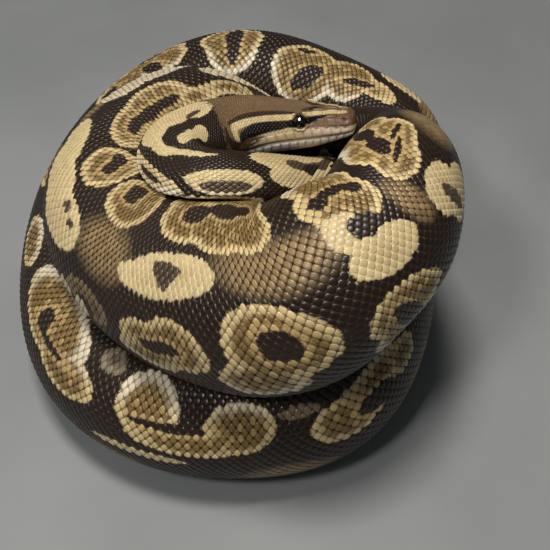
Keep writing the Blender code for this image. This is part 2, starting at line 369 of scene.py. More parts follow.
def mouth_turn(s):
    """Where the mouth line lies: its height over the half width, as a turn."""
    drop = MOUTH_DROP * (0.35 + 0.65 * s / JAW_HINGE)
    wide = table(HEAD, np.atleast_1d(s))[:, 0].reshape(np.shape(s))
    return 90 + np.degrees(np.arctan(drop / np.maximum(wide, 0.5)))


RELIEFS = (
    # (height mm, distance, turn, half length, half height): what it is
    (0.55, 16.5, 42, 4.0, 9),      # brow
    (-0.55, 10.5, 68, 3.2, 9),     # hollow before the eye
    (0.30, 8.0, 48, 5.0, 7),       # ridge from brow to nostril
    (0.35, 7.0, 94, 8.0, 9),       # upper lip
    (0.25, 8.0, 121, 9.0, 9),      # lower lip
    (-0.35, 24.0, 66, 4.0, 14),    # temple
    (0.45, 37.0, 84, 6.0, 22),     # jaw muscle
    (-0.80, 1.6, 53, 0.65, 8),     # nostril
)
PITS = ((1.5, 82), (4.5, 81), (7.7, 80), (11.0, 80))
PIT_DEPTH = 0.55
GROOVE_DEPTH, GROOVE_HALF = 0.60, 0.32     # between the lips
CHIN_DEPTH, CHIN_AT = 0.45, 15
side = np.where(grid_t > 180, 360 - grid_t, grid_t)[None, :]
s = grid_s[:, None]
push = np.zeros(reach.shape)
for height, s0, t0, long_mm, high_deg in RELIEFS:
    push += height * bump(s, side, s0, t0, long_mm, high_deg)
for s0, t0 in PITS:
    push -= PIT_DEPTH * bump(s, side, s0, t0, 0.75, 3.6)
on_head = np.clip((JAW_HINGE - s) / 6, 0, 1)
line = mouth_turn(np.minimum(grid_s, JAW_HINGE))[:, None]
off_line = np.radians(side - line) * np.maximum(radius_at[:, None], 1)
push -= GROOVE_DEPTH * on_head * np.exp(-(off_line / GROOVE_HALF) ** 2)
push -= CHIN_DEPTH * np.exp(-((180 - side) / 5) ** 2) * np.exp(-((s - CHIN_AT) / 9) ** 4)

# %% Normals
def outward(points):
    """Normal of a grid closed in turn: the cross product of its two differences.

    At the two closed ends it points straight ahead and straight back."""
    round_it = np.roll(points, -1, axis=1) - np.roll(points, 1, axis=1)
    down_it = np.gradient(points, axis=0)
    normal = np.cross(round_it, down_it)
    normal /= np.maximum(np.linalg.norm(normal, axis=2, keepdims=True), 1e-9)
    normal[0], normal[-1] = -along[0], along[-1]
    return normal


skin = middle[:, None] + rays * reach[..., None]
normals = outward(skin)
skin += normals * (push * np.clip(radius_at / 3, 0, 1)[:, None])[..., None]

# %% A rim round each eye, and a socket for the ball
HEAD_GRID = 220                 # rows of the grid that can lie near an eye
RIM_RADIUS, RIM_HEIGHT, RIM_HALF = 2.95, 0.50, 0.42
SOCKET_RADIUS, SOCKET_DEPTH = 2.5, 1.1

at_eye = np.array([float(EYE_FROM_SNOUT)])
eye_middle, _, eye_up, eye_out = frames(at_eye)
eye_lean = np.radians(table(LEAN, at_eye))[0]
crown_way = np.cos(eye_lean) * eye_up[0] + np.sin(eye_lean) * eye_out[0]
side_way = -np.sin(eye_lean) * eye_up[0] + np.cos(eye_lean) * eye_out[0]
eyes = {}
for sign in (-1, 1):
    centre = eye_middle[0] + EYE_UP * crown_way + sign * EYE_OUT * side_way
    to_skin = skin[:HEAD_GRID] - centre
    far = np.linalg.norm(to_skin, axis=2)
    i, j = np.unravel_index(far.argmin(), far.shape)
    height = to_skin @ normals[i, j]
    off_axis = np.sqrt(np.maximum((to_skin ** 2).sum(axis=2) - height ** 2, 0))
    rim = RIM_HEIGHT * np.exp(-((off_axis - RIM_RADIUS) / RIM_HALF) ** 2)
    rim -= SOCKET_DEPTH * np.clip((SOCKET_RADIUS - off_axis) / 0.5, 0, 1)
    skin[:HEAD_GRID] += normals[:HEAD_GRID] * np.where(height > 0, rim, 0)[..., None]
    eyes[sign] = (grid_s[i], grid_t[j])
normals = outward(skin)


# %% Reading the surface anywhere
def on_skin(s, turn, lift=0.0):
    """Point of the skin at (s, turn in degrees), raised by lift: bilinear in the grid."""
    row = np.clip(np.searchsorted(grid_s, s, side="right") - 1, 0, len(grid_s) - 2)
    u = np.clip((s - grid_s[row]) / (grid_s[row + 1] - grid_s[row]), 0, 1)[..., None]
    column = (turn % 360) * SIDES / 360
    j = np.floor(column).astype(int) % SIDES
    v = (column - np.floor(column))[..., None]
    k = (j + 1) % SIDES

    def read(grid):
        """Bilinear value of a grid at these places."""
        near = grid[row, j] * (1 - v) + grid[row, k] * v
        far = grid[row + 1, j] * (1 - v) + grid[row + 1, k] * v
        return near * (1 - u) + far * u

    return read(skin) + read(normals) * np.asarray(lift)[..., None]


# %% Where another coil lies against the skin
COVER_ROWS, COVER_SIDES = 3, 4


def covered_skin(reach_over=1.3, slab=2.2):
    """True on a coarse grid of the skin where another length lies against it.

    A point counts when it is within reach_over of another section's own outline, in the
    slab that this section stands for, and when its neighbours on the grid count too."""
    rows = np.arange(0, len(grid_s), COVER_ROWS)
    covered = np.zeros((len(rows), SIDES // COVER_SIDES), bool)
    thick = half_thickness(grid_s[rows])
    for n, i in enumerate(rows):
        other = rows[np.abs(grid_s[rows] - grid_s[i]) > 1.3 * (thick[n] + thick)]
        away = skin[i, ::COVER_SIDES, None] - middle[other][None]
        ahead = (away * along[other]).sum(axis=2)
        across, upward = (away * out[other]).sum(axis=2), (away * up[other]).sum(axis=2)
        side_on = np.degrees(np.arctan2(across, upward) - lean[other, 0]) % 360
        there = reach[other, np.round(side_on * SIDES / 360).astype(int) % SIDES]
        touch = (np.abs(ahead) < slab) & (np.hypot(across, upward) < there + reach_over)
        covered[n] = touch.any(axis=1)
    inner = covered & np.roll(covered, 1, axis=1) & np.roll(covered, -1, axis=1)
    inner[1:-1] &= inner[:-2] & inner[2:]
    return inner


COVERED = covered_skin()


def hidden(s, turn):
    """True where another length lies against the skin, so that no scale can be seen."""
    row = np.clip(np.searchsorted(grid_s, s) // COVER_ROWS, 0, len(COVERED) - 1)
    column = np.round(turn % 360 * SIDES / 360 / COVER_SIDES).astype(int)
    return COVERED[row, column % COVERED.shape[1]]


print("share of the skin that is covered:", round(float(COVERED.mean()), 2))
print("eyes at (distance, turn):", eyes)

# %% [markdown]
# ## Markings
#
# A ball python is dark brown with pale blotches up its sides, most with a dark heart,
# and warm golden patches along the back. A scale is nearly one colour all over, so the
# edges of a blotch are saw-toothed. The chart below lists the blotches as ovals in
# (distance, turn). Where the pile hides the animal the blotches go on by rule.

# %% Colours
CREAM = linear(222, 198, 146)
TAN = linear(200, 172, 118, 0.5)
OLIVE = linear(136, 110, 64, 0.9)
# Dark brown for the borders of pale scales: partly their own border colour, partly painted shade in
# the gaps between scales.
BORDER_AND_GAP_SHADE = linear(84, 58, 30)
WHITE = linear(236, 229, 210)
GROUND = linear(38, 27, 20)
GROUND_EDGE = linear(62, 49, 39)
HEART = linear(42, 30, 25)
GROUND_LOW = linear(58, 43, 32)
GOLD = linear(158, 132, 92)
GOLD_EDGE = linear(58, 40, 18)
OLIVE_EDGE = linear(70, 50, 24)
PLAIN, PLAIN_EDGE, PLAIN_HEART = linear(206, 186, 144), linear(228, 208, 160), linear(84, 68, 54)
DULL = linear(70, 54, 40)
BELLY = linear(212, 199, 168)
SCUTE_FLECK = linear(96, 82, 72)

# %% The chart
# Oval: (distance, turn, half length mm, half height degrees, and any slant degrees).
# Each blotch: (kind, its pale ovals, its dark ovals). Kinds: "ring" has an olive ring
# round its heart, "plain" is clear cream, "white" paler still, "faint" is dull brown and
# "dark" cuts a notch of the ground colour into the blotches before it.
BLOTCHES = (
    # upper ring, inner side, from the left round to the right
    ("ring", ((727, -58, 9, 8), (739, -57, 9, 8, 20), (752, -42, 14, 21, 10), (766, -34, 13, 15)),
     ((748, -46, 5, 4.5, 20), (757, -41, 8, 5.5, 15), (766, -36, 5, 5))),
    ("ring", ((787, -19, 8, 21),), ((785.5, -26, 3, 5), (788, -18, 2.3, 6))),
    ("ring", ((809, -18, 12, 20), (803, -20, 7, 20)),
     ((804, -24, 4.2, 6), (805, -17, 3.5, 4))),
    ("ring", ((837, -27, 11, 19), (850, -31, 15, 21), (862, -42, 13, 26),
              (860, -66, 14, 18), (845, -58, 16, 18), (829, -52, 8, 26)),
     ((838, -31, 4.5, 9), (848, -41, 8, 8), (858, -47, 7, 5.5, -15))),
    ("plain", ((838, 12, 14, 13, -22), (829, 19, 8, 8, -10), (845, 7, 10, 11, -20)),
     ((836.5, 9, 2.4, 4.5), (841, 8, 3.2, 3.2, -30), (839, 13, 2.6, 6.5),
      (839, 8, 3.5, 4.5))),
    ("plain", ((772, 8, 8.5, 12), (781, 20, 9, 16), (791, 30, 10, 17)),
     ((791.0, 20, 1.6, 3.5), (795.5, 25, 1.3, 3))),
    ("ring", ((843, 51, 9, 18), (835, 57, 11, 15), (832, 70, 10, 10)),
     ((840.5, 54, 4, 4.5, -10), (835.5, 58, 5, 4.5, -10))),
    ("faint", ((810, 60, 9, 13),), ((809, 66, 4, 9),)),
    ("ring", ((865.5, 37, 10, 26), (860, 66, 7.5, 18)), ((866, 37, 3.7, 11),)),
    # upper ring, right
    ("ring", ((891, -40, 10, 28), (893, -68, 12, 22)),
     ((890.5, -46, 4.4, 5), (896, -40, 2.6, 6), (885.5, -41, 2.2, 6))),
    ("plain", ((890.5, 8, 8.3, 15), (886, -14, 4, 14)), ()),
    ("dark", ((889.8, -12, 3.6, 8.5),), ()),
    ("ring", ((914, -28, 8.3, 19), (917, -54, 8, 24, 20), (925, -74, 8, 18, 20),
              (929, -54, 8, 14, 10), (922, -34, 8, 20)),
     ((917, -44, 2.6, 12, 28), (924, -62, 2.8, 14, 32), (930, -77, 2.6, 9, 30),
      (916, -28, 5, 2.4), (923, -32, 4, 2.4, 20))),
    ("ring", ((889, 52, 10, 21), (888, 72, 10, 16)), ((889.5, 61, 3.2, 17, -20),)),
    ("plain", ((912, 15, 6.3, 19), (916, 36, 7.5, 17, -15)), ((912.5, 28, 1.8, 16, -8),)),
    # outer flank, left
    ("white", ((736, -3, 10, 20), (746, 0, 10, 16, 10)), ()),
    ("white", ((711, -32, 9, 12), (722, -35, 8, 12)), ()),
    ("white", ((799, 73, 3, 9), (807, 72, 3, 9)), ()),
    # back ring
    ("ring", ((221, -46, 12, 13), (236, -58, 13, 30, -20), (256, -78, 16, 40)),
     ((230, -54, 8.5, 5, -25), (253.5, -83, 4.3, 23, 37), (260, -51, 4.5, 4, -20))),
    ("ring", ((290, -75, 10.5, 29), (291, -55, 11.5, 27)),
     ((289.5, -74, 2.6, 20), (290, -52, 3.2, 20))),
    ("ring", ((320, -57, 12, 22), (337, -57, 13, 20), (321, -42, 13, 20)),
     ((324.5, -65, 4, 11), (343, -55, 3.5, 5), (322, -38, 5, 4, 15))),
    ("plain", ((220, -7, 10, 13),), ()),
    # lower ring
    ("ring", ((412, -66, 11, 15),), ()),
    ("ring", ((448, -80, 21, 27), (464, -61, 11.5, 17)),
     ((447.7, -74, 3.4, 10), (455, -65.5, 7.5, 3))),
    ("ring", ((491, -70, 8.8, 27), (503, -48, 17, 12), (516, -60, 10, 20)),
     ((503.6, -73, 3.8, 12), (499, -58, 8, 4), (491, -59, 5, 2.5))),
    ("dark", ((504.5, -86, 4, 10),), ()),
    ("ring", ((543, -49, 9, 17), (552, -61, 11, 11), (562, -53, 7, 10)),
     ((550, -48, 5.5, 8),)),
    ("plain", ((489, -28, 13, 3.5),), ()),
    ("faint", ((477, -92, 4.5, 10),), ()),
    ("faint", ((532, -67, 5, 5),), ()),
    # neck
    ("plain", ((57, 5, 8, 26), (66, 16, 8, 26), (72, 34, 7, 26), (79, 32, 6, 10),
               (86, 18, 7, 6, -30), (92, 9, 5, 4, -20)),
     ((61, -7, 4.5, 4.5),)),
    ("plain", ((66, -43, 5, 15), (73, -33, 6, 11, 20), (79, -20, 5, 11, 50),
               (82, -8, 3, 7, 40)), ()),
    ("plain", ((99.5, 53, 8.5, 20),), ((99.5, 60, 5.5, 9),)),
    ("ring", ((83, 76, 8.5, 16),), ((83, 75, 4, 5),)),
    ("plain", ((116, 8, 10, 26), (130, -2, 14, 16, -10), (118, 44, 8, 18),
               (131, 34, 10, 10, -40), (142, -30, 8, 12)),
     ((122, 20, 4.5, 11), (130, 16, 6, 7, -25), (137, 4, 6, 6, -45), (144, -18, 5, 5, -50))),
    ("plain", ((100, 84, 9, 9),), ()),
)
# Golden patches along the back: (distance, turn, half length mm, half height degrees).
GOLDEN = (
    (812, 18, 15, 22), (867, -6, 17, 17), (876, -14, 11, 18), (935, 6, 13, 33),
    # The narrow patch at 903 mm is painted highlight: it lightens dark scales where glints fall.
    (903, -8, 4.5, 26), (757, 12, 9, 12), (700, 0, 14, 20), (660, 5, 14, 22), (615, 0, 16, 22),
    (570, -10, 15, 20), (528, -5, 14, 20), (480, 0, 12, 18), (432, 5, 15, 20),
    (395, 0, 14, 20), (350, -8, 14, 20), (305, 0, 14, 20), (262, 0, 14, 18), (205, 5, 13, 20),
    (172, 0, 12, 24), (990, 0, 10, 24),
)
# Lengths and turns that the chart covers; the rule keeps out of them.
CHARTED = ((40, 152, -100, 100), (205, 349, -135, -30), (395, 585, -110, -18),
           (700, 930, -90, 88))

# %% Blotches by rule where the pile hides the animal
draw = np.random.default_rng(11)


def ruled_blotches():
    """One blotch on each flank every 30 to 42 mm, an oval or a pair, dark in the middle."""
    made = []
    for flank in (-80, 80):
        at = 160 + draw.uniform(0, 20)
        while at < LENGTH - 20:
            turn = flank + draw.uniform(-14, 8) * np.sign(flank)
            size = draw.uniform(12, 16) * float(half_thickness(np.array([at]))[0]) / 30
            high = draw.uniform(28, 38)
            lobes = [(at, turn, size, high), (at + size * 0.8, turn * 1.12, size * 0.8, high * 0.8)]
            heart = [(at, turn * 0.98, size * 0.33, high * 0.42, draw.uniform(-20, 20))]
            inside = any(a - 12 < at < b + 8 and low - 18 < turn < high_t + 18
                         for a, b, low, high_t in CHARTED)
            if not inside:
                made.append(("ring", tuple(lobes[:1 + int(draw.integers(0, 2))]), tuple(heart)))
            at += draw.uniform(30, 42) * (0.55 + 0.45 * size / 14)
    return tuple(made)


ALL_BLOTCHES = BLOTCHES + ruled_blotches()
print(len(BLOTCHES), "charted blotches and", len(ALL_BLOTCHES) - len(BLOTCHES), "by rule")

# %% [markdown]
# On the back ring the spine lies nearer the top than the section tables say, so the
# pattern is rolled there: the scales and the markings share that roll.

# %% Pattern turn and section turn
ROLL = ((0, 0), (150, 0), (225, 50), (300, 50), (395, 0), (LENGTH, 0))


def roll(s):
    """How far the pattern is turned against the sections, in degrees."""
    rows = np.array(ROLL)
    return np.interp(s, rows[:, 0], rows[:, 1])


def wrapped(turn):
    """The same turn between -180 and 180."""
    return (turn + 180) % 360 - 180


# %% Depth inside an oval
def oval_depth(s, turn, radius, oval):
    """How deep a place is inside an oval, in mm: negative outside, largest at its middle."""
    s0, t0, long_mm, high_deg, slant = (*oval, 0)[:5]
    high_mm = np.radians(high_deg) * radius
    x = s - s0
    y = np.radians(wrapped(turn - t0)) * radius
    c, d = np.cos(np.radians(slant)), np.sin(np.radians(slant))
    share = np.hypot((x * c + y * d) / long_mm, (y * c - x * d) / high_mm)
    return (1 - share) * np.minimum(long_mm, high_mm)


def union_depth(s, turn, radius, ovals):
    """The greatest depth in any of the ovals, with the notches between them rounded."""
    depth = np.full(s.shape, -99.0)
    for oval in ovals:
        depth = -softer_minimum(-depth, -oval_depth(s, turn, radius, oval), 1.2)
    return depth


# %% Blending
def blend(under, over, share):
    """Under where the share is 0, over where it is 1."""
    share = np.asarray(share)[..., None]
    return under * (1 - share) + over * share


def step(value, low, high):
    """A smooth step from 0 at low to 1 at high: x squared times (3 - 2x)."""
    x = np.clip((value - low) / (high - low), 0, 1)
    return x * x * (3 - 2 * x)


# %% Paint of the body
def paint_body(s, turn, luck):
    """Colour of a scale's middle and of its edge, from its place and its own luck (0 to 1).

    A blotch goes from cream to tan by its depth; an olive ring, white towards the belly,
    a dark heart and the other kinds are laid over that."""
    radius = half_thickness(s)
    middle = np.broadcast_to(GROUND, s.shape + (4,)).copy()
    edge = np.broadcast_to(GROUND_EDGE, s.shape + (4,)).copy()
    flank = step(np.abs(turn), 60, 120)
    middle = blend(middle, GROUND_LOW, 0.5 * flank)
    gold = np.zeros(s.shape)
    for s0, t0, long_mm, high_deg in GOLDEN:
        gold = np.maximum(gold, 1 - np.hypot((s - s0) / long_mm, wrapped(turn - t0) / high_deg) ** 2)
    gold = np.clip(gold * 1.25, 0, 1) * (0.75 + 0.25 * luck)
    middle = blend(middle, GOLD, gold)
    edge = blend(edge, GOLD_EDGE, gold)
    for kind, pale, dark in ALL_BLOTCHES:
        low, high = min(o[0] - o[2] for o in pale) - 30, max(o[0] + o[2] for o in pale) + 30
        near = np.flatnonzero((s > low) & (s < high))
        if not len(near):
            continue
        at, tu, ra, lu = s[near], turn[near], radius[near], luck[near]
        inside = union_depth(at, tu, ra, pale)
        heart = union_depth(at, tu, ra, dark) if dark else np.full(at.shape, -99.0)
        scale = 0.35 + 0.65 * ra / 30
        fill = np.broadcast_to(CREAM, at.shape + (4,))
        fill = blend(fill, TAN, step(inside, 1.0 * scale, 4.5 * scale))
        # A pale scale's edge is mostly dark brown: its own border colour plus painted shade in the
        # gap to the next scale.
        rim = blend(fill, BORDER_AND_GAP_SHADE, 0.72)
        if kind == "white":
            fill = blend(fill, WHITE, 0.65)
            rim = blend(rim, TAN, 0.3)
        if kind == "plain":
            fill = blend(fill, PLAIN, 0.6)
            rim = np.broadcast_to(PLAIN_EDGE, fill.shape)
        if kind in ("ring", "faint"):
            ring = step(inside, 1.3 * scale, 3.0 * scale)
            ring = ring * (1 - step(heart, -1.9 * scale, -0.7 * scale))
            ring = ring * np.where(lu < 0.75, 0.9, 0.35)
            fill = blend(fill, OLIVE, ring)
            rim = blend(rim, OLIVE_EDGE, np.clip(ring * 1.2, 0, 1))
        pale_rim = step(np.abs(tu), 60, 84) * (1 - step(inside, 2.0 * scale, 4.2 * scale))
        fill = blend(fill, WHITE, 0.85 * pale_rim)
        rim = blend(rim, TAN, 0.6 * pale_rim)
        if kind == "faint":
            fill = blend(fill, DULL, 0.75)
            rim = blend(rim, GROUND, 0.5)
        if kind == "dark":
            fill, rim = (np.broadcast_to(one, fill.shape) for one in (GROUND, GROUND_EDGE))
        is_heart = (heart > 0)[:, None]
        fill = np.where(is_heart, PLAIN_HEART if kind == "plain" else HEART, fill)
        rim = np.where(is_heart, GROUND_EDGE, rim)
        pale_here = (inside > 0)[:, None]
        middle[near] = np.where(pale_here, fill, middle[near])
        edge[near] = np.where(pale_here, rim, edge[near])
    belly = step(np.abs(turn) + 7 * (luck - 0.5), 126, 135)
    middle = blend(middle, BELLY, belly)
    edge = blend(edge, BELLY * 0.8, belly)
    shade = (0.90 + 0.2 * luck)[:, None]
    return middle * shade, edge * shade


# %% [markdown]
# The head has its own markings: a brown crown, a pale stripe that runs from the snout
# over the eye to the cheek, a black stripe through the eye, and cream lips. They are the
# same on both sides, so they are charted by the turn away from the spine, whichever way.

# %% Paint of the head
CROWN = linear(122, 97, 66, 0.5)
CROWN_DARK = linear(54, 37, 27)
STRIPE = linear(206, 183, 136)
BLACK = linear(20, 15, 14)
LIP = linear(212, 190, 164)
JAW = linear(216, 206, 194)
LOREAL = linear(138, 113, 94)
SNOUT_TOP = linear(112, 85, 60, 0.4)
CHEEK, CHEEK_LOW = linear(70, 54, 44), linear(88, 70, 54, 0.8)
LIP_STRIPE = linear(208, 186, 142)
THROAT = linear(226, 218, 206)
# Painted shade: a dark red-brown laid on the plates over the heat pits and the nostril, for the shade
# inside these hollows.
HOLLOW_SHADE = linear(70, 34, 28)


def stroke_depth(s, side, radius, stations):
    """Depth inside a stroke: tapered capsules between its (distance, turn, half width)."""
    depth = np.full(s.shape, -99.0)
    for (s0, t0, w0), (s1, t1, w1) in zip(stations, stations[1:]):
        mid = np.radians((t0 + t1) / 2) * radius
        dx, dy = s1 - s0, np.radians(t1 - t0) * radius
        px, py = s - s0, np.radians(side) * radius - mid + dy / 2
        share = np.clip((px * dx + py * dy) / np.maximum(dx * dx + dy * dy, 1e-9), 0, 1)
        away = np.hypot(px - share * dx, py - share * dy)
        depth = np.maximum(depth, w0 + (w1 - w0) * share - away)
    return depth


HEAD_STROKES = (
    # (colour, softness mm, stations)
    (LOREAL, 1.2, ((1, 62, 1.3), (8, 64, 1.4), (14, 68, 1.0))),
    (CROWN_DARK, 0.8, ((10.5, 0, 1.0), (14, 18, 1.2), (16, 28, 0.8))),
    (CROWN_DARK, 0.7, ((19, 42, 0.5), (24, 44, 1.2), (32, 49, 1.5), (40, 51, 1.2), (46, 54, 0.7))),
    (BLACK, 0.3, ((14.2, 60, 1.1), (11.5, 52, 0.9), (8.5, 42, 0.7), (6.5, 36, 0.3))),
    (STRIPE, 0.25, ((15.4, 44, 0.9), (12, 37, 1.1), (8, 29, 1.15), (4, 22, 1.05), (1.8, 18, 0.7))),
    (STRIPE, 0.25, ((19.5, 52, 1.1), (25, 55, 1.15), (33, 60.5, 1.3), (40, 62, 1.4), (44, 64, 1.6))),
    (STRIPE, 0.25, ((44, 66, 1.8), (43, 82, 1.4))),
    (BLACK, 0.25, ((17, 66, 1.2), (21, 69, 1.4), (27, 72, 1.8), (34, 76, 2.2), (39.5, 82, 1.8))),
    (CROWN_DARK, 0.9, ((41, 96, 1.8), (46.5, 90, 1.8), (49, 76, 1.2), (49, 60, 0.8))),
    (CHEEK_LOW, 1.0, ((30, 93, 1.2), (37, 94, 1.8), (42, 98, 1.0))),
    (LIP_STRIPE, 0.3, ((17.5, 84, 1.4), (21, 88, 2.1), (26, 94, 1.7), (31, 98, 1.0), (36, 102, 0.4))),
)


def paint_head(s, turn, luck):
    """Colours on the head: soft base zones, then strokes laid one over the other."""
    radius = np.interp(s, grid_s, radius_at)
    side = np.abs(wrapped(turn))
    line = mouth_turn(np.minimum(s, JAW_HINGE))
    tip_share = 1 - step(s, 3, 9)
    colour = blend(np.broadcast_to(CROWN, s.shape + (4,)), SNOUT_TOP, tip_share)
    lips = step(side, 72, 79) * (1 - step(s, 26, 40))
    colour = blend(colour, LIP, lips)
    cheek = step(side, 84, 100) * step(s, 26, 36)
    colour = blend(colour, CHEEK, cheek * (1 - step(s, 44, 52)))
    for shade, soft, stations in HEAD_STROKES:
        depth = stroke_depth(s, side, radius, stations)
        colour = blend(colour, shade, step(depth, -soft / 2, soft / 2))
    colour = blend(colour, JAW, step(side, line + 1, line + 4))
    colour = blend(colour, THROAT, step(side, 124, 140))
    colour = colour * (0.86 + 0.28 * luck)[..., None]
    return colour, colour * 0.24


def paint(s, turn, luck):
    """The head's paint, then the body's from just behind the head on."""
    head, head_edge = paint_head(s, turn, luck)
    body, body_edge = paint_body(s, turn, luck)
    share = step(s + 2.5 * (luck - 0.5), 49.5, 51.5)
    return blend(head, body, share), blend(head_edge, body_edge, share)


# %% [markdown]
# ## Materials
#
# Skin and scales share one finish. The colour comes from a colour attribute called
# tint, with fine flecks over it; the attribute's fourth value says how flecked a colour
# is. Snake scale is smooth horn, so it is fairly glossy, with a clear coat and a very
# fine grain. The skin between the scales is duller.

# %% Scale finish
def scale_finish(gloss, fleck, shine):
    """A finish of this roughness, strength of flecks and strength of highlights."""
    def build(start, tree, shader):
        where = start.node("ShaderNodeTexCoord", out="Object")
        tint = start.node("ShaderNodeVertexColor", {"layer_name": "tint"})
        fine = {"Vector": where, "Scale": 1100.0, "Detail": 3.0, "Roughness": 0.6}
        grain = where.node("ShaderNodeTexNoise", {}, fine)
        wide = {"Vector": where, "Scale": 130.0, "Detail": 2.0}
        cloud = where.node("ShaderNodeTexNoise", {}, wide)
        flecked = start.node("ShaderNodeVertexColor", {"layer_name": "tint"}, out=1)
        flecks = grain.between(0.46, 0.60) * flecked * fleck
        darker = tint.node("ShaderNodeMix", {"data_type": "RGBA", "blend_type": "MULTIPLY"},
                           {0: flecks, 6: tint, 7: (0.42, 0.33, 0.24, 1)}, out=2)
        plug(tree, darker, shader.inputs["Base Color"])
        rough = gloss + 0.10 * cloud.between(0.35, 0.65) + 0.08 * grain
        plug(tree, rough, shader.inputs["Roughness"])
        relief = {"Strength": 0.12, "Distance": 0.0001, "Height": grain}
        plug(tree, grain.node("ShaderNodeBump", {}, relief), shader.inputs["Normal"])
        shader.inputs["Specular IOR Level"].default_value = 0.36 * shine
        shader.inputs["Coat Weight"].default_value = 0.15 * shine
        shader.inputs["Coat Roughness"].default_value = 0.22
    return build


body_scale = material("body_scale", scale_finish(0.27, 0.75, 1.0))
head_scale = material("head_scale", scale_finish(0.27, 0.9, 1.0))
body_skin = material("body_skin", scale_finish(0.55, 0.1, 0.15))

# %% [markdown]
# ## Mesh helpers
#
# Arrays of points and faces go straight into a mesh. The colour of each point is kept
# as an attribute, and a UV map where the piece needs one.

# %% From arrays to a piece
def piece(name, points, quads, look, tint, uv=None, tris=None):
    """A mesh object from points in mm, faces by index, and a colour for every point."""
    mesh = bpy.data.meshes.new(name)
    corners = quads.ravel()
    sizes = np.full(len(quads), 4)
    if tris is not None:
        corners = np.concatenate([corners, tris.ravel()])
        sizes = np.concatenate([sizes, np.full(len(tris), 3)])
    starts = np.concatenate([[0], np.cumsum(sizes)[:-1]])
    mesh.vertices.add(len(points))
    mesh.vertices.foreach_set("co", (points * MM).astype(np.float32).ravel())
    mesh.loops.add(len(corners))
    mesh.loops.foreach_set("vertex_index", corners.astype(np.int32))
    mesh.polygons.add(len(sizes))
    mesh.polygons.foreach_set("loop_start", starts.astype(np.int32))
    if uv is not None:
        layer = mesh.uv_layers.new(name="OFBake")
        at = uv[corners]
        # A face that crosses from the last column to the first ends at 1, not back at 0.
        crosses = np.repeat(np.maximum.reduceat(at[:, 1], starts) > 0.5, sizes)
        at[:, 1] += (at[:, 1] == 0) & crosses
        layer.data.foreach_set("uv", at.astype(np.float32).ravel())
    colour = mesh.color_attributes.new("tint", "FLOAT_COLOR", "POINT")
    colour.data.foreach_set("color", tint.astype(np.float32).ravel())
    mesh.update(calc_edges=True)
    mesh.validate()
    mesh.shade_smooth()
    mesh.materials.append(look)
    made = bpy.data.objects.new(name, mesh)
    bpy.context.scene.collection.objects.link(made)
    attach(made, "root")
    triangles = 2 * len(quads) + (0 if tris is None else len(tris))
    print(name, len(points), "points,", triangles, "triangles")
    return made


# %% [markdown]
# ## The skin
#
# One closed skin runs from the snout to the tip of the tail and stands for all the
# flesh of the construction model. It lies a little inside, by the depth of the scales.
# The head has twice the points round it, so a row of faces joins the two.

# %% Depth of the coat
PITCH = ((10, 1.15), (24, 1.35), (62, 1.7), (110, 1.8), (160, 2.1), (205, 2.8), (240, 3.1),
         (300, 3.1), (360, 2.9), (420, 2.4), (700, 2.3), (740, 1.95), (880, 1.95), (920, 1.9),
         (945, 1.85), (1000, 1.4), (1063, 0.9))


def pitch(s):
    """Length of a scale along the body: small on the head and neck, largest mid body."""
    rows = np.array(PITCH)
    return np.interp(s, rows[:, 0], rows[:, 1])


COAT_SHARE = 0.155


def coat_depth(s):
    """How far the skin lies below the scales' backs: a share of the pitch."""
    return COAT_SHARE * pitch(s)


# %% One skin from snout to tail
SKIN_HEAD_ENDS = 60
SKIN_STEP = 2.2
head_rows = np.concatenate([SNOUT + TIP, np.arange(SNOUT + TIP_ENDS, SKIN_HEAD_ENDS, HEAD_STEP)])
body_rows = np.arange(SKIN_HEAD_ENDS + 0.6, LENGTH - 2.2, SKIN_STEP)
body_rows = np.concatenate([body_rows, LENGTH - np.array([2, 1.3, 0.6, 0.15, 0])])


def skin_rows(rows, sides):
    """Points of the skin on rows of constant distance, below the scales."""
    s, turn = np.meshgrid(rows, np.arange(sides) * 360 / sides, indexing="ij")
    sink = -np.interp(s, rows, coat_depth(rows)) * np.clip((s - SNOUT) / 3, 0, 1)
    return s, turn, on_skin(s, turn, sink)


def ring_quads(first, rows, sides):
    """Quads between rows of points that close round the body, facing outwards."""
    i, j = np.meshgrid(np.arange(rows - 1), np.arange(sides), indexing="ij")
    k = (j + 1) % sides
    base = first + i * sides
    return np.stack([base + j, base + k, base + sides + k, base + sides + j], -1).reshape(-1, 4)


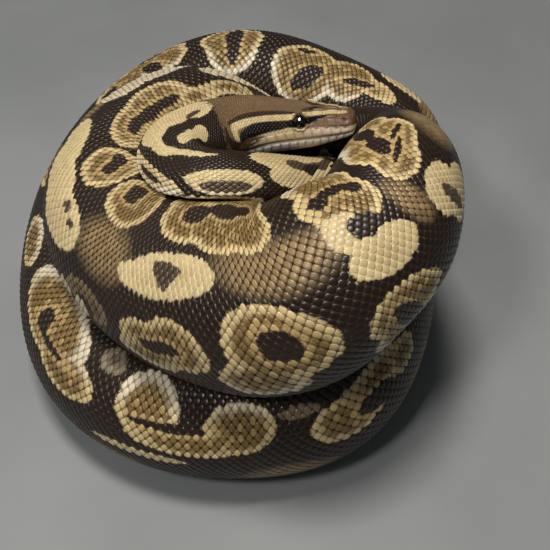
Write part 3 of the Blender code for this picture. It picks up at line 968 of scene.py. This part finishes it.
def make_skin():
    """The skin's two grids, the row of faces that joins them, and the two end fans."""
    half = SIDES // 2
    s1, t1, p1 = skin_rows(head_rows[1:], SIDES)
    s2, t2, p2 = skin_rows(body_rows[:-1], half)
    nose, end = on_skin(np.array([SNOUT, LENGTH]), np.array([0.0, 0.0]))
    points = np.concatenate([p1.reshape(-1, 3), p2.reshape(-1, 3), [nose, end]])
    at = np.concatenate([s1.ravel(), s2.ravel(), [SNOUT, LENGTH]])
    turn = np.concatenate([t1.ravel(), t2.ravel(), [0, 0]])
    second = s1.size
    quads = [ring_quads(0, len(s1), SIDES), ring_quads(second, len(s2), half)]
    last_head, i = second - SIDES, np.arange(half)
    k = (i + 1) % half
    quads.append(np.stack([last_head + 2 * i + 1, last_head + (2 * i + 2) % SIDES,
                           second + k, second + i], -1))
    tris = [np.stack([last_head + 2 * i, last_head + 2 * i + 1, second + i], -1)]
    j = np.arange(SIDES)
    tris.append(np.stack([np.full(SIDES, len(points) - 2), (j + 1) % SIDES, j], -1))
    last = second + s2.size - half
    tris.append(np.stack([last + i, last + k, np.full(half, len(points) - 1)], -1))
    pattern = wrapped(turn + roll(at))
    luck = np.full(at.shape, 0.5)
    middle, edge = paint(at, pattern, luck)
    # Behind the face the skin takes the scales' edge colour, so on pale blotches it also carries the
    # painted shade of the gaps.
    on_face = (1 - step(at, 46, 60))[:, None]
    tint = middle * on_face + edge * (1 - on_face)
    uv = np.stack([(at - SNOUT) / (LENGTH - SNOUT), (turn % 360) / 360], -1)
    return piece("skin", points, np.concatenate(quads), body_skin, tint, uv,
                 np.concatenate(tris))


skin_piece = make_skin()
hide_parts(*[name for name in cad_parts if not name.startswith("eye")])

# %% [markdown]
# ## A scale as a pad
#
# Every scale, plate and scute is the same thing: a pad laid over four corners on the
# skin. It rises from its front edges. A scale is highest towards the back, and drops
# there in a short lip over the next ones. Corners are rounded by pulling them in.

# %% Pads
SCALE_NODES = np.array([-1.0, -0.78, -0.2, 0.4, 0.82, 1.0])
SCALE_RISE = np.array([-0.10, 0.40, 0.80, 1.0, 0.96, 0.05])
OVERLAP = 0.12


def pads(corners, height, nodes_a, rise_a, nodes_b, rise_b, corner_pull=0.13, overlap=0.0):
    """Pads over corners (n, 4, 2) in (distance, turn), in the order (-,-) (+,-) (+,+) (-,+).

    A node (a, b) is pulled in by a(1 - c b^2), b(1 - c a^2), its rear edges pushed over
    the next pads by the overlap, placed by bilinear blending of the corners, and lifted
    by the mean of the product and the smaller of the two rises."""
    a, b = np.meshgrid(nodes_a, nodes_b, indexing="ij")
    lift = np.meshgrid(rise_a, rise_b, indexing="ij")
    lift = np.minimum(lift[0], lift[1]) * 0.5 + lift[0] * lift[1] * 0.5
    pa, pb = a * (1 - corner_pull * b * b), b * (1 - corner_pull * a * a)
    pa, pb = pa + overlap * ((1 + pa) / 2) ** 2, pb + overlap * ((1 + pb) / 2) ** 2
    weights = np.stack([(1 - pa) * (1 - pb), (1 + pa) * (1 - pb), (1 + pa) * (1 + pb),
                        (1 - pa) * (1 + pb)], -1) / 4
    where = np.einsum("ijk,nkc->nijc", weights, corners)
    sunk = coat_depth(where[..., 0].ravel()).reshape(where.shape[:3])
    raise_by = sunk * (height * lift[None] - 1)
    points = on_skin(where[..., 0], where[..., 1], raise_by)
    rows, columns = a.shape
    i, j = np.meshgrid(np.arange(rows - 1), np.arange(columns - 1), indexing="ij")
    corner = i * columns + j
    quad = np.stack([corner, corner + columns, corner + columns + 1, corner + 1], -1).reshape(-1, 4)
    quads = (np.arange(len(corners))[:, None, None] * rows * columns + quad[None]).reshape(-1, 4)
    on_edge = ((np.abs(a) == 1) | (np.abs(b) == 1)).ravel()
    return points.reshape(-1, 3), quads, where, on_edge, np.stack([a, b], -1)


def bake_patches(where, ab, s_from, s_to):
    """UV of each pad: a patch 0.003 across at its place on the skin's own unwrap."""
    root = where.mean(axis=(1, 2))
    across = np.stack([(root[:, 0] - s_from) / (s_to - s_from), (root[:, 1] % 360) / 360], -1)
    return (across[:, None, None] * 0.99 + 0.005 + 0.0015 * ab[None]).reshape(-1, 2)


# %% [markdown]
# ## Body scales
#
# The scales lie in slanting rows, each a rounded diamond whose neighbours fill the gaps
# beside it. Sixty-one rows cross the back from one edge of the belly to the other, and
# half as many on the tip of the tail. None lie where another coil covers the skin. The
# counting coordinate goes up by one for every scale along the body, so scales grow and
# shrink with the girth and never collide.

# %% The lattice
ROWS = 61
BELLY_EDGE = 138.0
count_s = np.arange(8, LENGTH, 0.5)
count_k = np.concatenate([[0], np.cumsum(0.5 / pitch(count_s[:-1] + 0.25))])


def row_turn(row, rows):
    """Turn of a row: even over the back, and a little wider towards the belly."""
    q = row / (rows / 2)
    return BELLY_EDGE * (0.80 * q + 0.20 * q ** 3)


def lattice(start, end, rows, keep=None):
    """Corners (n, 4, 2) in pattern turn of the scales whose middle lies in a length."""
    k0, k1 = np.interp((start, end), count_s, count_k)
    half = rows // 2
    k, j = np.meshgrid(np.arange(np.floor(k0), k1), np.arange(-half, half + 1), indexing="ij")
    k = k + 0.5 * (j % 2)
    inside = (k >= k0) & (k < k1)
    k, j = k[inside], j[inside]
    s = np.interp(k, count_k, count_s)
    seen = ~hidden(s, row_turn(j, rows) - roll(s))
    k, j, s = k[seen], j[seen], s[seen]
    if keep is not None:
        chosen = keep(s, row_turn(j, rows))
        k, j, s = k[chosen], j[chosen], s[chosen]
    ks = np.stack([k - 0.5, k, k + 0.5, k], -1)
    js = np.stack([j, j + 1, j, j - 1], -1)
    at = np.interp(ks, count_k, count_s)
    return np.stack([at, row_turn(js, rows)], -1), s, row_turn(j, rows)


def make_scales(name, start, end, rows, look, keep=None, own_share=0.6):
    """Scales of one length. A point is painted as the place own_share of the way to it."""
    corners, s, turn = lattice(start, end, rows, keep)
    luck = draw.uniform(0, 1, len(s))
    corners[..., 1] -= roll(corners[..., 0])
    points, quads, where, on_edge, ab = pads(corners, 1.0, SCALE_NODES, SCALE_RISE,
                                             SCALE_NODES, SCALE_RISE, 0.24, OVERLAP)
    at, tu = where[..., 0], where[..., 1] + roll(where[..., 0])
    at = s[:, None, None] + (at - s[:, None, None]) * own_share
    tu = turn[:, None, None] + (tu - turn[:, None, None]) * own_share
    each = np.broadcast_to(luck[:, None, None], at.shape)
    middle, edge = (side.reshape(len(s), -1, 4) for side in
                    paint(at.ravel(), wrapped(tu.ravel()), each.ravel()))
    # Border points take the edge colour, which on pale blotches includes painted shade in the gaps
    # between scales.
    tint = np.where(on_edge[None, :, None], edge, middle).reshape(-1, 4)
    uv = bake_patches(where, ab, start - 4, end + 4)
    return piece(name, points, quads, look, tint, uv)


# %% Scales of the head and body, one piece for each length
PLATED_SNOUT = 13.0
HEAD_RADIUS = 8.9               # half thickness at the eye


def off_plates(s, turn):
    """True where small scales belong: behind the snout plates, off the lips and the eye."""
    side = np.abs(turn)
    eye_s, eye_t = eyes[1]
    near_eye = np.hypot(s - eye_s, np.radians(side - eye_t) * HEAD_RADIUS) < 4.3
    lips = (s < 37) & (side > 82) & (side < 131)
    return (s > PLATED_SNOUT + 1.0 * (side < 40)) & ~near_eye & ~lips


make_scales("scales_head", 12, 50, ROWS, head_scale, off_plates, 1.0)
make_scales("scales_nape", 50, 100, ROWS, body_scale)
make_scales("scales_neck", 100, 170, ROWS, body_scale)
for name, start, end in (
    ("back_left", 170, 240), ("back_right", 240, 330), ("left", 330, 410),
    ("lower_left", 410, 490), ("lower_front", 490, 590), ("rise_low", 590, 665),
    ("rise_high", 665, 735), ("upper_left", 735, 820), ("upper_front", 820, 888),
    ("upper_right", 888, 945), ("tail", 945, 975),
):
    make_scales("scales_" + name, start, end, ROWS, body_scale)
make_scales("scales_tail_tip", 975, 1064, 31, body_scale)

# %% [markdown]
# ## Belly scutes
#
# Under the body the scales become broad plates, one after another, each reaching from
# one flank to the other.

# %% Scutes
SCUTE_NODES = np.array([-1, -0.97, -0.8, -0.6, -0.4, -0.2, 0, 0.2, 0.4, 0.6, 0.8, 0.97, 1])
SCUTE_RISE = np.array([-0.2, 0.5, 0.8, 0.9, 0.95, 1, 1, 1, 0.95, 0.9, 0.8, 0.5, -0.2])
ALONG_NODES = np.array([-1.0, -0.7, 0.0, 0.85, 1.0])
ALONG_RISE = np.array([-0.2, 0.5, 0.85, 1.0, -0.2])


def make_scutes():
    """One scute for every scale and a half along the body, from throat to tail."""
    first, last = np.interp((50, LENGTH - 6), count_s, count_k)
    edges = np.interp(np.arange(first, last, 1.5), count_k, count_s)
    front, rear = edges[:-1], edges[1:]
    low = np.full(front.shape, BELLY_EDGE - 1.5)
    outline = ((front, low), (front, 360 - low), (rear, 360 - low), (rear, low))
    corners = np.stack([np.stack(corner, -1) for corner in outline], 1)
    corners[..., 1] -= roll(corners[..., 0])
    points, quads, where, on_edge, ab = pads(corners, 1.0, SCUTE_NODES, SCUTE_RISE,
                                             ALONG_NODES, ALONG_RISE, 0.02)
    luck = draw.uniform(0, 1, len(corners))
    turn = wrapped(where[..., 1] + roll(where[..., 0]))
    fleck = step(137 + 12 * luck[:, None, None] - np.abs(turn), -2, 4) * 0.55
    tint = blend(np.broadcast_to(BELLY, turn.shape + (4,)), SCUTE_FLECK, fleck)
    tint = tint.reshape(len(corners), -1, 4) * np.where(on_edge, 0.75, 1.0)[None, :, None]
    uv = bake_patches(where, ab, 40, LENGTH)
    piece("scutes", points, quads, body_scale, tint.reshape(-1, 4), uv)


make_scutes()

# %% [markdown]
# ## Plates of the head
#
# The snout and lips carry large plates instead of scales: a rostral at the tip, paired
# plates over the snout, upper and lower lip plates with heat pits, and a ring of small
# ones round the eye.

# %% Plates on one side, and their mirror images
EYE_S, EYE_T = eyes[1]
PLATE_NODES = np.array([-1, -0.9, -0.76, -0.58, -0.35, -0.1, 0.15, 0.4, 0.6, 0.78, 0.9, 1])
PLATE_RISE = np.array([-0.5, 0.30, 0.72, 0.9, 0.97, 1, 1, 0.97, 0.9, 0.72, 0.30, -0.5])


def lip_row(divisions, inner, outer, slant):
    """Plates between divisions along the lips; inner and outer give their turns."""
    made = []
    for front, rear in zip(divisions, divisions[1:]):
        made.append(((front + slant, inner(front)), (front, outer(front)),
                     (rear, outer(rear)), (rear + slant, inner(rear))))
    return made


def eye_ring(count, inner_mm, outer_mm):
    """Small plates in a ring round the eye, as sectors of a circle on the skin."""
    made = []
    for i in range(count):
        a0, a1 = (2 * np.pi * (i + shift) / count for shift in (0.04, 0.96))
        corner = []
        for radius, angle in ((inner_mm, a0), (inner_mm, a1), (outer_mm, a1), (outer_mm, a0)):
            corner.append((EYE_S + radius * np.cos(angle),
                           EYE_T + np.degrees(radius * np.sin(angle) / HEAD_RADIUS)))
        made.append(tuple(corner))
    return made


UPPER_LIP = (0.0, 2.9, 6.0, 9.3, 12.7, 15.6, 18.6, 21.6, 24.8, 28.2, 31.8, 35.6)
LOWER_LIP = (0.3, 2.4, 4.9, 7.6, 10.4, 12.9, 15.5, 18.2, 21.0, 24.0, 27.2, 30.6, 34.0, 37.0)
SNOUT_PLATES = (
    ((-0.4, 3), (-0.5, 28), (3.4, 25), (3.8, 2)),        # internasal
    ((-0.6, 30), (-0.7, 52), (3.9, 50), (3.6, 27)),      # nasal, above the nostril
    ((-0.4, 54), (-0.3, 75), (3.7, 74), (4.2, 52)),      # nasal, below it
    ((4.2, 2), (3.9, 24), (8.6, 23), (9.0, 2)),          # front prefrontal
    ((4.1, 26), (4.3, 50), (8.8, 49), (8.7, 25)),
    ((9.4, 2), (9.0, 23), (13.4, 22), (13.6, 2)),        # rear prefrontal
    ((9.1, 25), (9.2, 49), (13.2, 44), (13.6, 24)),
    ((4.6, 52), (4.2, 74), (7.8, 74), (8.0, 52)),        # loreals
    ((8.3, 52), (8.2, 74), (11.4, 74), (11.6, 52)),
    ((11.8, 56), (11.7, 74), (13.9, 76), (13.7, 68)),
)
ROSTRAL = ((-1.6, -40), (-1.6, 40), (-0.75, 60), (-0.75, -60))


def mirrored(plate):
    """The same plate on the other side, its corners taken so that it still faces out."""
    a, b, c, d = ((s, -turn) for s, turn in plate)
    return (b, a, d, c)


def lip_top(s):
    """Upper edge of the upper lip's plates, as a turn."""
    return np.interp(s, (0, 13, 20, 36), (77, 77, 85, 93))


def make_plates():
    """All plates of the head in one piece: thicker than scales, with dark seams."""
    one_side = list(SNOUT_PLATES)
    one_side += lip_row(UPPER_LIP, lip_top, lambda s: mouth_turn(s) - 2.2, 0.5)
    one_side += lip_row(LOWER_LIP, lambda s: mouth_turn(s) + 2.6, lambda s: 126, -0.4)
    ring = eye_ring(11, 2.6, 4.0)
    both = one_side + [mirrored(plate) for plate in one_side]
    both += ring + [mirrored(plate) for plate in ring] + [ROSTRAL]
    corners = np.array(both, float)
    points, quads, where, on_edge, ab = pads(corners, 1.5, PLATE_NODES, PLATE_RISE,
                                             PLATE_NODES, PLATE_RISE, 0.05)
    luck = np.repeat(draw.uniform(0.2, 0.8, len(corners)), len(on_edge))
    middle, edge = paint_head(where[..., 0].ravel(), where[..., 1].ravel(), luck)
    seam = np.interp(np.abs(ab).max(axis=-1).ravel(), (0.76, 0.9, 1), (0, 0.6, 1))
    side = np.abs(wrapped(where[..., 1])).ravel()
    at = where[..., 0].ravel()
    # The heat pits and the nostril get painted shade on the plates over them.
    pit_shade_share = sum(bump(at, side, s0, t0, 0.6, 2.8) for s0, t0 in PITS)
    pit_shade_share = pit_shade_share + bump(at, side, 1.6, 53, 0.6, 6)
    tint = blend(middle, edge, np.tile(seam, len(corners)))
    tint = blend(tint, HOLLOW_SHADE, np.clip(pit_shade_share, 0, 1) * 0.85)
    uv = bake_patches(where, ab, -4, 60)
    piece("plates_head", points, quads, head_scale, tint, uv)


make_plates()

# %% [markdown]
# ## Eyes
#
# The eyes are the construction model's own balls. A snake has no lids: a clear scale
# covers the eye, so it looks wet. The iris is so dark a brown that the upright pupil
# can barely be told from it.

# %% Eye finish
EYE_BLACK, IRIS_BROWN = (0.002, 0.002, 0.003, 1), (0.009, 0.006, 0.005, 1)


def eye_finish(start, tree, shader):
    """Wet black, with faint brown veins."""
    where = start.node("ShaderNodeTexCoord", out="Object")
    veins = where.node("ShaderNodeTexNoise", {}, {"Vector": where, "Scale": 700.0, "Detail": 3.0})
    plug(tree, veins.between(0.45, 0.8).mix(EYE_BLACK, IRIS_BROWN), shader.inputs["Base Color"])
    shader.inputs["Roughness"].default_value = 0.08
    shader.inputs["Specular IOR Level"].default_value = 0.6
    shader.inputs["Coat Weight"].default_value = 1.0
    shader.inputs["Coat Roughness"].default_value = 0.03


eye_look = material("eye_gloss", eye_finish)
for name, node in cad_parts.items():
    if name.startswith("eye"):
        node.data.materials.clear()
        node.data.materials.append(eye_look)
